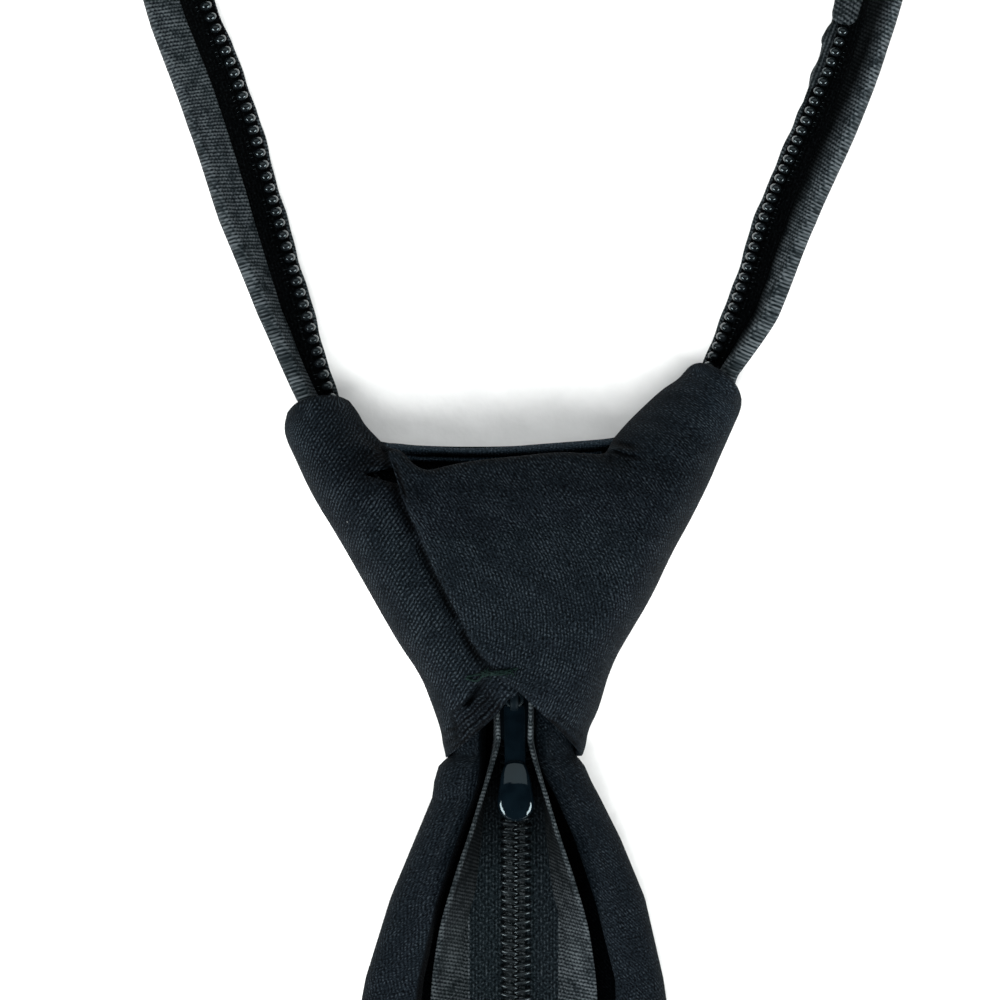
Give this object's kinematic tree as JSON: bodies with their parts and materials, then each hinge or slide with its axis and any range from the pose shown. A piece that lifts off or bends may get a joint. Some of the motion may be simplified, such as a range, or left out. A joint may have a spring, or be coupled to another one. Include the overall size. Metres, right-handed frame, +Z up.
{
  "type": "zipper tie",
  "caption": "Ready-knotted necktie lying face down: a wrapped knot over a slider whose zipper tapes open into a loop for the neck, with a pointed blade.",
  "frame": {"origin": "on the surface, under the middle of the knot, where the knot's front lies flat", "axes": "+Z up from the surface to the tie's back, +Y along the tie from the blade to the neck loop, +X to the right seen from the back"},
  "size_m": [0.119, 0.6521, 0.0176],
  "materials": {
    "crepe": "fine black twill, matte",
    "satin": "black satin ribbon, soft sheen",
    "tape": "knitted black tape, matte",
    "nylon": "black nylon, glossy",
    "enamel": "black enamel, glossy"
  },
  "bodies": {
    "tie": {"knot": "crepe", "blade": "crepe", "ribbon_left": "satin", "tape_left": "tape", "coil_left": "nylon", "ribbon_right": "satin", "tape_right": "tape", "coil_right": "nylon", "neckband": "satin", "slider": "enamel"},
    "pull": {"pull_tab": "enamel"}
  },
  "joints": [
    {"name": "pull_hinge", "type": "hinge", "parent": "tie", "child": "pull", "pos_m": [0, -0.01311, 0.01005], "axis": [-1, 0, 0], "range_deg": [0, 50]}
  ]
}
